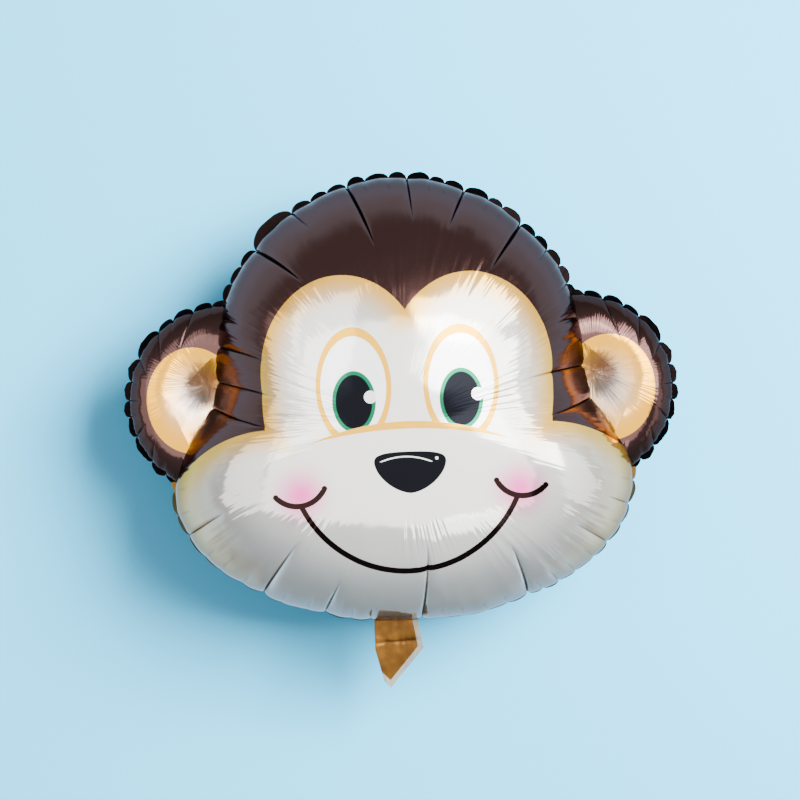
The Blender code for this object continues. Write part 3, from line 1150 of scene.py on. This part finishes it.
@dataclass(frozen=True)
class Gloss:
    """How the printed foil shines: its metal, its roughness and its lacquer, and how much painted
    shade darkens its folds, its seam and its rim.
    """

    brown_metal: float = 1.0
    pale_metal: float = 0.68
    rim_metal: float = 0.90
    dark_metal: float = 1.0
    silver_metal: float = 0.92
    brown_rough: float = 0.15
    pale_rough: float = 0.085
    ear_rough: float = 0.11
    lacquer: float = 0.10
    edge_tint: float = 0.5
    lacquer_rough: float = 0.08
    haze: float = 0.035
    fold_rough: float = 0.25
    # How much painted shade darkens the folds and the seam, on the brown and on the pale mask.
    fold_painted_shade: float = 0.97
    pale_fold_painted_shade: float = 0.80
    wrinkle: float = 0.0013
    # Painted shade towards the seam: where it starts and how dark it gets.
    rim: float = 0.90
    brown_rim_painted_shade: float = 0.25
    pale_rim_painted_shade: float = 0.35
    ear_rim: float = 0.66
    ear_rim_painted_shade: float = 0.55
    rim_metal_out: Point = (0.62, 0.88)


@dataclass(frozen=True)
class FaceArt:
    """Places and sizes of the printed face, in millimetres from its own middle.

    An oval is its centre's x and y and its half width and half height. A circle is its
    centre and radius, a muzzle's circle its centre's height and radius, and an arc a circle
    and half its stroke's width. rim_gold_across and rim_gold_out say where the jaw's edge
    turns gold.
    """

    middle: Point = (6.0, 26.7)
    mask_edge: float = 0.25
    lobe: Shape = (59.0, 20.0, 75.8, 90.5)
    lobe_side: float = 210.0
    peak: float = 76.5
    cheek: tuple[float, float, float] = (127.0, -138.0, 108.0)
    fade: float = 29.0
    rim_gold: float = 0.68
    rim_gold_across: Point = (100.0, 190.0)
    rim_gold_out: float = 0.74
    eye: Shape = (49.5, 7.0, 34.8, 55.2)
    eye_inner: Shape = (49.7, 7.0, 30.3, 46.8)
    iris: Shape = (49.5, -6.5, 20.1, 28.3)
    pupil: Shape = (49.5, -6.5, 16.8, 24.7)
    glint: tuple[float, float, float] = (15.2, -2.6, 5.9)
    muzzle: Point = (-266.0, 240.2)
    muzzle_under: Point = (-402.2, 369.5)
    muzzle_ends: float = -46.0
    smile: Shape = (-1.5, -54.0, 109.5, 2.5)
    smile_ends: float = -98.0
    tick: Shape = (104.0, -72.0, 27.5, 2.6)
    tick_ends: float = -87.6
    tick_slope: float = 0.14
    tick_tips: tuple[Point, Point] = ((79.3, -84.1), (124.4, -90.5))
    mouth_tilt: float = -0.016
    blush: tuple[float, float, float] = (101.0, -91.0, 32.0)
    blush_spread: float = 4.0
    blush_share: float = 0.95
    nose: tuple[float, float, float] = (0.3, -63.3, 33.2)
    nose_rise: float = 9.5
    nose_fall: float = 28.8
    nose_powers: Point = (1.65, 2.9)
    nose_depth: float = 20.0
    nose_shine: Shape = (-4.4, -118.0, 59.6, 0.62)
    nose_shine_slope: float = 0.02
    nose_dot: Shape = (25.0, -60.6, 1.5, 1.5)


class FoilFinish:
    """What all printed finishes of the foil share."""

    def __init__(self, name: str, shapes: PrintShapes, inks: Inks, gloss: Gloss) -> None:
        """Start a material and remember what to print with."""
        self.shapes = shapes
        self.inks = inks
        self.gloss = gloss
        self.material, self.canvas, self.shader = new_material(name)
        self.strength, self.out = self.canvas.apart(self.layer("unrest"))
        # fold says how much painted shade darkens the narrow folds and the seam.
        self.fold, _ = self.canvas.apart(self.layer("folds"))

    def layer(self, name: str) -> Socket:
        """Return the values of one of the foil's own UV maps."""
        node = self.canvas.add("ShaderNodeUVMap")
        node.uv_map = name
        return node.outputs[0]

    def with_rim_painted_shade(self, colour: Socket | Colour, low: float, share: float) -> Socket:
        """Return the colour with painted shade, darker from a share of the way out to the seam."""
        rim = self.canvas.ramp(self.out, low, 1.0) * share
        return self.canvas.mix(rim, colour, self.inks.shadow)

    def place_from(self, x: float = 0.0, y: float = 0.0) -> Socket:
        """Return the place on the printed sheet, all in millimetres, from a point of it."""
        mapping = self.canvas.add("ShaderNodeMapping")
        mapping.inputs["Location"].default_value = (-x, -y, 0)
        mapping.inputs["Scale"].default_value = (1000, 1000, 1000)
        self.canvas.feed(mapping.inputs["Vector"], self.layer("sheet"))
        return mapping.outputs[0]

    def oval(self, place: Socket, size: Sequence[float], output: str = "Inside") -> Value:
        """Return an oval's Depth or Inside."""
        x, y, width, height = size
        shape = self.shapes.oval
        return self.canvas.group(shape, Place=place, X=x, Y=y, Width=width, Height=height)[output]

    def finish(self, colour: Socket, metal: Value | float, rough: Value | float,
               place: Socket, dark: Value | float) -> bpy.types.Material:
        """Join colour, metal and roughness to the shader, paint shade into the folds and the seam,
        and add wrinkles and lacquer.

        Args:
            colour: Colour of the print.
            metal: How metallic the print lets the foil show.
            rough: Roughness of the foil.
            place: Place on the sheet, from the point that the wrinkles run towards.
            dark: How much painted shade darkens the bottoms of the narrow folds and the seam.

        Returns:
            The finished material.
        """
        canvas, gloss, inputs = self.canvas, self.gloss, self.shader.inputs
        fine = self.shapes.streaks
        streaks = canvas.group(fine, Place=place, Unrest=self.strength, Out=self.out)
        rough = streaks["Haze"] * gloss.haze + rough
        # Painted shade: the folds' bottoms and the seam are darkened towards the shadow colour.
        colour = canvas.mix(self.fold * dark, colour, self.inks.shadow)
        canvas.feed(inputs["Base Color"], colour)
        canvas.feed(inputs["Metallic"], metal)
        canvas.feed(inputs["Roughness"], self.fold * gloss.fold_rough + rough)
        canvas.feed(inputs["Normal"], canvas.bump(streaks["Height"], 1.0, gloss.wrinkle))
        canvas.feed(inputs["Specular Tint"], (*[gloss.edge_tint] * 3, 1.0))
        canvas.feed(inputs["Coat Weight"], (1 - self.fold) * gloss.lacquer)
        canvas.feed(inputs["Coat Roughness"], gloss.lacquer_rough)
        return self.material


class FacePrint(FoilFinish):
    """The printed front of the head."""

    art: FaceArt = FaceArt()

    def mask_depth(self, ax: Value, y: Value) -> Value:
        """Return the distance inside the pale mask, made of two lobes over broad cheeks."""
        canvas, art = self.canvas, self.art
        cx, cy, width, height = art.lobe
        rise = y - cy
        upward = rise.maximum(0.0) / height + rise.minimum(0.0) / art.lobe_side
        lobe = (1 - canvas.length((ax - cx) / width, upward)) * width
        between = (art.peak - y).minimum(cx - ax)
        cx, cy, radius = art.cheek
        cheek = radius - canvas.length((ax - cx).maximum(0.0), (y - cy).maximum(0.0))
        return lobe.maximum(between).maximum(cheek)

    def nose(self, x: Value, y: Value) -> Value:
        """Return the nose's mask: full and round below, flatter above."""
        canvas, art = self.canvas, self.art
        cx, cy, half = art.nose
        up = y - cy
        upward = up.maximum(0.0) / art.nose_rise + up.minimum(0.0) / -art.nose_fall
        power = canvas.blend(canvas.math("GREATER_THAN", up, 0.0), *art.nose_powers)
        total = abs((x - cx) / half) ** power + upward**power
        depth = (1 - total ** (1 / power)) * art.nose_depth
        return canvas.ramp(depth, -self.shapes.edge, self.shapes.edge)

    def eyes(self, colour: Socket, place: Socket, folded: Socket, above: Value) -> Socket:
        """Return the colour with both eyes printed over it, cut off by the muzzle."""
        canvas, art, inks = self.canvas, self.art, self.inks
        layers = (
            (art.eye, inks.ring),
            (art.eye_inner, inks.white),
            (art.iris, inks.green),
            (art.pupil, inks.black),
        )
        for size, ink in layers:
            colour = canvas.mix(self.oval(folded, size) * above, colour, ink)
        gx, gy, glint = art.glint
        for side in (-1, 1):
            spot = (side * art.eye[0] + gx, gy, glint, glint)
            colour = canvas.mix(self.oval(place, spot), colour, inks.white)
        return colour

    def stroke(self, place: Socket, arc: Sequence[float], **ends: float) -> Value:
        """Return the mask of a stroke along one side of a circle."""
        x, y, radius, half = arc
        shape = self.shapes.arc
        stroke = self.canvas.group(shape, Place=place, X=x, Y=y, Radius=radius, Half=half, **ends)
        return stroke["Inside"]

    def mouth(self, x: Value, ax: Value, y: Value) -> Value:
        """Return the mask of the smile and the ticks at its ends."""
        canvas, art = self.canvas, self.art
        tilted = x * art.mouth_tilt + y
        smile = self.stroke(
            canvas.together(x, tilted), art.smile, Level=art.smile_ends, Slope=0.0, Way=-1.0,
            Taper=1.0,
        )
        folded = canvas.together(ax, tilted)
        ticks = self.stroke(
            folded, art.tick, Level=art.tick_ends, Slope=art.tick_slope, Way=-1.0, Taper=0.5
        )
        line = smile.maximum(ticks)
        half = art.tick[-1]
        for end in art.tick_tips:
            line = line.maximum(self.oval(folded, (*end, half, half)))
        return line

    def fur(self, pale: Value, depth: Value, ax: Value) -> Socket:
        """Return the brown, and the pale mask with its gold edge where pale is 1, both with painted
        shade towards the seam.
        """
        canvas, art, inks, gloss = self.canvas, self.art, self.inks, self.gloss
        beside = canvas.ramp(ax, *art.rim_gold_across) * art.rim_gold
        beside = canvas.ramp(self.out, art.rim_gold_out, 1.0) * beside
        fade = canvas.ramp(depth, 0.0, art.fade) * (1 - beside)
        # Painted shade darkens the brown and the pale mask towards the seam.
        brown = self.with_rim_painted_shade(inks.brown, gloss.rim, gloss.brown_rim_painted_shade)
        white = canvas.mix(fade, inks.gold, inks.cream)
        return canvas.mix(pale, brown, self.with_rim_painted_shade(white, gloss.rim, gloss.pale_rim_painted_shade))

    def blushed(self, colour: Socket, folded: Socket) -> Socket:
        """Return the colour with the cheeks' soft pink over it."""
        art = self.art
        x, y, radius = art.blush
        glow = self.oval(folded, (x, y, radius, radius), "Depth")
        glow = self.canvas.ramp(glow, -art.blush_spread, radius) * art.blush_share
        return self.canvas.mix(glow, colour, self.inks.pink)

    def shiny(self, colour: Socket, place: Socket) -> Socket:
        """Return the colour with the nose's printed highlight over it."""
        art = self.art
        shine = self.stroke(
            place, art.nose_shine, Level=art.nose[1], Slope=art.nose_shine_slope, Way=1.0,
            Taper=1.0,
        )
        shine = shine.maximum(self.oval(place, art.nose_dot))
        return self.canvas.mix(shine, colour, self.inks.white)

    def build(self) -> bpy.types.Material:
        """Return the finished material."""
        canvas, art, inks, gloss = self.canvas, self.art, self.inks, self.gloss
        place = self.place_from(*art.middle)
        x, y = canvas.apart(place)
        ax = abs(x)
        folded = canvas.together(ax, y)
        depth = self.mask_depth(ax, y)
        pale = canvas.ramp(depth, -art.mask_edge, art.mask_edge)
        colour = self.blushed(self.fur(pale, depth, ax), folded)

        low, radius = art.muzzle
        over = self.oval(place, (0.0, low, radius, radius))
        above = 1 - over
        colour = self.eyes(colour, place, folded, above)
        low, radius = art.muzzle_under
        crescent = over * (1 - self.oval(place, (0.0, low, radius, radius)))
        ends = canvas.ramp(y, art.muzzle_ends, art.muzzle_ends + 1)
        colour = canvas.mix(crescent * ends, colour, inks.ring)

        nose = self.nose(x, y)
        colour = self.shiny(canvas.mix(nose, colour, inks.black), place)
        line = self.mouth(x, ax, y)
        colour = canvas.mix(line, colour, inks.line)
        opaque = nose.maximum(line).maximum(self.oval(folded, art.iris) * above)
        outer = canvas.ramp(self.out, *gloss.rim_metal_out)
        metal = canvas.blend(outer, gloss.pale_metal, gloss.rim_metal)
        metal = canvas.blend(pale, gloss.brown_metal, metal)
        metal = canvas.blend(opaque, metal, gloss.dark_metal)
        rough = canvas.blend(pale, gloss.brown_rough, gloss.pale_rough)
        # How strongly painted shade darkens the folds, on the brown and on the pale mask.
        dark = canvas.blend(pale, gloss.fold_painted_shade, gloss.pale_fold_painted_shade)
        return self.finish(colour, metal, rough, self.place_from(), dark)


class EarPrint(FoilFinish):
    """The printed front of an ear: a silver patch with a gold edge on brown."""

    patch: Shape = (192.3, 26.4, 42.0, 48.9)
    middle: Point = (179.0, 41.0)
    fade: Point = (3.8, 38.0)

    def build(self) -> bpy.types.Material:
        """Return the finished material."""
        canvas, inks, gloss = self.canvas, self.inks, self.gloss
        x, y = canvas.apart(self.place_from())
        ax = abs(x)
        folded = canvas.together(ax, y)
        inside = self.oval(folded, self.patch)
        fade = canvas.ramp(self.oval(folded, self.patch, "Depth"), *self.fade)
        # Painted shade darkens the brown towards the seam.
        brown = self.with_rim_painted_shade(inks.brown, gloss.ear_rim, gloss.ear_rim_painted_shade)
        colour = canvas.mix(inside, brown, canvas.mix(fade, inks.patch_gold, inks.silver))
        metal = canvas.blend(inside, gloss.brown_metal, gloss.silver_metal)
        towards = canvas.together(ax - self.middle[0], y - self.middle[1])
        return self.finish(colour, metal, gloss.ear_rough, towards, gloss.fold_painted_shade)


class BackFoil(FoilFinish):
    """The plain back sheet."""

    deeper: Colour = (0.200, 0.074, 0.055, 1.0)
    blotch_scale: float = 0.012
    blotch_range: Point = (0.2, 0.8)

    def build(self) -> bpy.types.Material:
        """Return the finished material."""
        canvas, gloss = self.canvas, self.gloss
        place = self.place_from()
        blotch = canvas.ramp(canvas.noise(place, self.blotch_scale, 2.0), *self.blotch_range)
        colour = canvas.mix(blotch, self.inks.brown, self.deeper)
        return self.finish(colour, gloss.brown_metal, gloss.brown_rough, place, gloss.fold_painted_shade)


@dataclass(frozen=True)
class ValveFilm:
    """Thin film of the filling valve."""

    name: str
    light: Colour
    dark: Colour
    alpha: float
    roughness: float
    metallic: float
    cloud_scale: ClassVar[float] = 60.0
    cloud_range: ClassVar[Point] = (0.35, 0.65)
    wear_scale: ClassVar[float] = 300.0
    wear: ClassVar[float] = 0.12
    crumple_scale: ClassVar[float] = 160.0
    crumple: ClassVar[Point] = (0.5, 0.0008)

    def build(self) -> bpy.types.Material:
        """Return the finished material."""
        material, canvas, shader = new_material(self.name)
        here = canvas.add("ShaderNodeTexCoord").outputs["Object"]
        cloud = canvas.ramp(canvas.noise(here, self.cloud_scale, 3.0), *self.cloud_range)
        canvas.feed(shader.inputs["Base Color"], canvas.mix(cloud, self.dark, self.light))
        shader.inputs["Metallic"].default_value = self.metallic
        shader.inputs["Alpha"].default_value = self.alpha
        wear = canvas.noise(here, self.wear_scale, 3.0)
        canvas.feed(shader.inputs["Roughness"], wear * self.wear + self.roughness)
        normal = canvas.bump(canvas.noise(here, self.crumple_scale, 3.0), *self.crumple)
        canvas.feed(shader.inputs["Normal"], normal)
        return material


COLOURED_FILM = ValveFilm(
    "valve_film", light=(0.150, 0.062, 0.006, 1.0), dark=(0.095, 0.038, 0.004, 1.0),
    alpha=1.0, roughness=0.25, metallic=0.8,
)
CLEAR_FILM = ValveFilm(
    "clear_border", light=(0.34, 0.24, 0.12, 1.0), dark=(0.25, 0.17, 0.08, 1.0),
    alpha=0.6, roughness=0.2, metallic=0.1,
)


class Reach(Enum):
    """What a light does: light surfaces, or show in the foil's reflections."""

    LIGHT_ONLY = 1
    REFLECTION_ONLY = 2


@dataclass(frozen=True)
class Softbox:
    """A rectangular soft light that faces the balloon.

    across and upward are its direction from the balloon as slopes from the vertical, glow is
    its brightness, and roll turns it in its own plane in degrees.
    """

    name: str
    across: float
    upward: float
    distance: float
    size: Point
    glow: float
    roll: float
    reach: Reach

    def hang(self, target: Vector) -> None:
        """Put the light in the scene, facing the target."""
        data = bpy.data.lights.new(self.name, "AREA")
        data.shape = "RECTANGLE"
        data.size, data.size_y = self.size
        data.energy = self.glow * math.pi * self.size[0] * self.size[1]
        thing = put_in_scene(bpy.data.objects.new(self.name, data))
        away = Vector((self.across, self.upward, 1.0)).normalized()
        thing.location = target + away * self.distance
        beside = (Vector((1.0, 0.0, 0.0)) - away * away.x).normalized()
        axes = Matrix((beside, away.cross(beside), away)).transposed()
        facing = axes.to_quaternion() @ Quaternion((0, 0, 1), math.radians(self.roll))
        thing.rotation_euler = facing.to_euler()
        thing.visible_glossy = self.reach != Reach.LIGHT_ONLY
        thing.visible_diffuse = self.reach != Reach.REFLECTION_ONLY


@dataclass
class Studio:
    """The pale floor, the soft light and the camera over the balloon."""

    seam_height: float
    camera_height: float = 2.0
    view_width: float = 0.736
    aim: Point = (-0.0011, 0.0205)
    roll: float = 1.9
    sensor: float = 36.0
    floor_reach: float = 25.0
    floor_colour: Colour = (0.066, 0.62, 1.0, 1.0)
    below: Colour = (0.95, 1.52, 2.15, 1.0)
    horizon: Colour = (0.82, 1.08, 1.28, 1.0)
    overhead: Colour = (0.42, 0.42, 0.44, 1.0)
    dim: Colour = (0.36, 0.42, 0.48, 1.0)
    below_to_horizon: Point = (-0.55, 0.0)
    horizon_to_overhead: Point = (0.02, 0.30)
    dim_to_bright: Point = (-0.90, -0.40)
    floor_rough: float = 0.9
    boxes: tuple[Softbox, ...] = (
        Softbox("key_low", 0.57, 0.19, 2.2, (2.00, 0.74), 8.0, -6.0, Reach.REFLECTION_ONLY),
        Softbox("key_high", 0.56, 0.55, 2.2, (1.75, 0.64), 8.0, 26.0, Reach.REFLECTION_ONLY),
        Softbox("sun", 0.72, 0.36, 2.6, (1.5, 1.5), 56.0, 0.0, Reach.LIGHT_ONLY),
        Softbox("fill", -0.30, 0.0, 2.9, (4.0, 3.0), 0.6, 0.0, Reach.LIGHT_ONLY),
        Softbox("window", 0.32, -0.75, 2.8, (0.80, 0.50), 4.0, 0.0, Reach.REFLECTION_ONLY),
        Softbox("far_left", -1.40, 0.0, 3.4, (1.7, 3.2), 1.5, 0.0, Reach.REFLECTION_ONLY),
        Softbox("far_right", 1.90, -0.35, 3.4, (1.5, 2.6), 1.1, 0.0, Reach.REFLECTION_ONLY),
        Softbox("ceiling", -0.05, -0.12, 2.9, (4.2, 3.0), 2.4, 0.0, Reach.REFLECTION_ONLY),
        Softbox("left", -0.55, 0.34, 2.8, (1.6, 1.4), 2.0, 0.0, Reach.REFLECTION_ONLY),
    )

    def camera(self) -> None:
        """Hang the camera straight over the balloon, turned a little as in the photograph."""
        data = bpy.data.cameras.new("camera")
        data.sensor_width = self.sensor
        data.lens = self.sensor * self.camera_height / self.view_width
        thing = put_in_scene(bpy.data.objects.new("camera", data))
        thing.location = (*self.aim, self.seam_height + self.camera_height)
        thing.rotation_euler = (0.0, 0.0, math.radians(-self.roll))
        bpy.context.scene.camera = thing

    def floor(self) -> None:
        """Lay the floor."""
        form = bmesh.new()
        bmesh.ops.create_grid(form, x_segments=1, y_segments=1, size=self.floor_reach)
        material, _, shader = new_material("floor_paper")
        shader.inputs["Base Color"].default_value = self.floor_colour
        shader.inputs["Roughness"].default_value = self.floor_rough
        floor = put_in_scene(finished(form, "floor"))
        floor.data.materials.append(material)
        floor.visible_glossy = False

    def world(self) -> None:
        """Surround the stage with light, dim overhead and beyond the chin, bluish below.

        The foil's reflections see this in place of the floor, which would colour its rim.
        """
        world = bpy.data.worlds.new("surroundings")
        bpy.context.scene.world = world
        world.use_nodes = True
        canvas = Canvas(world.node_tree)
        parts = canvas.add("ShaderNodeSeparateXYZ")
        canvas.feed(parts.inputs[0], canvas.add("ShaderNodeTexCoord").outputs["Generated"])
        height = parts.outputs[2]
        rise = canvas.ramp(height, *self.below_to_horizon)
        colour = canvas.mix(rise, self.below, self.horizon)
        rise = canvas.ramp(height, *self.horizon_to_overhead)
        colour = canvas.mix(rise, colour, self.overhead)
        near = canvas.ramp(parts.outputs[1], *self.dim_to_bright)
        colour = canvas.mix(near, self.dim, colour)
        canvas.feed(world.node_tree.nodes["Background"].inputs["Color"], colour)

    def build(self) -> None:
        """Set the stage."""
        self.camera()
        self.floor()
        for box in self.boxes:
            box.hang(Vector((0.0, 0.0, self.seam_height)))
        self.world()


def main() -> None:
    """Build every piece of the balloon, then the stage."""
    logging.basicConfig(level=logging.INFO)
    shared = (PrintShapes(), Inks(), Gloss())
    envelope = FoilEnvelope()
    finishes = (
        FacePrint("printed_face", *shared).build(),
        EarPrint("printed_ear", *shared).build(),
        BackFoil("back_foil", *shared).build(),
    )
    skin = envelope.build(finishes)
    LOG.info("%s: %d faces", skin.name, len(skin.data.polygons))
    sleeve = FillingValve().build(COLOURED_FILM.build(), CLEAR_FILM.build())
    LOG.info("%s: %d faces", sleeve.name, len(sleeve.data.polygons))
    Studio(seam_height=envelope.seam_height).build()


if __name__ == "__main__":
    main()
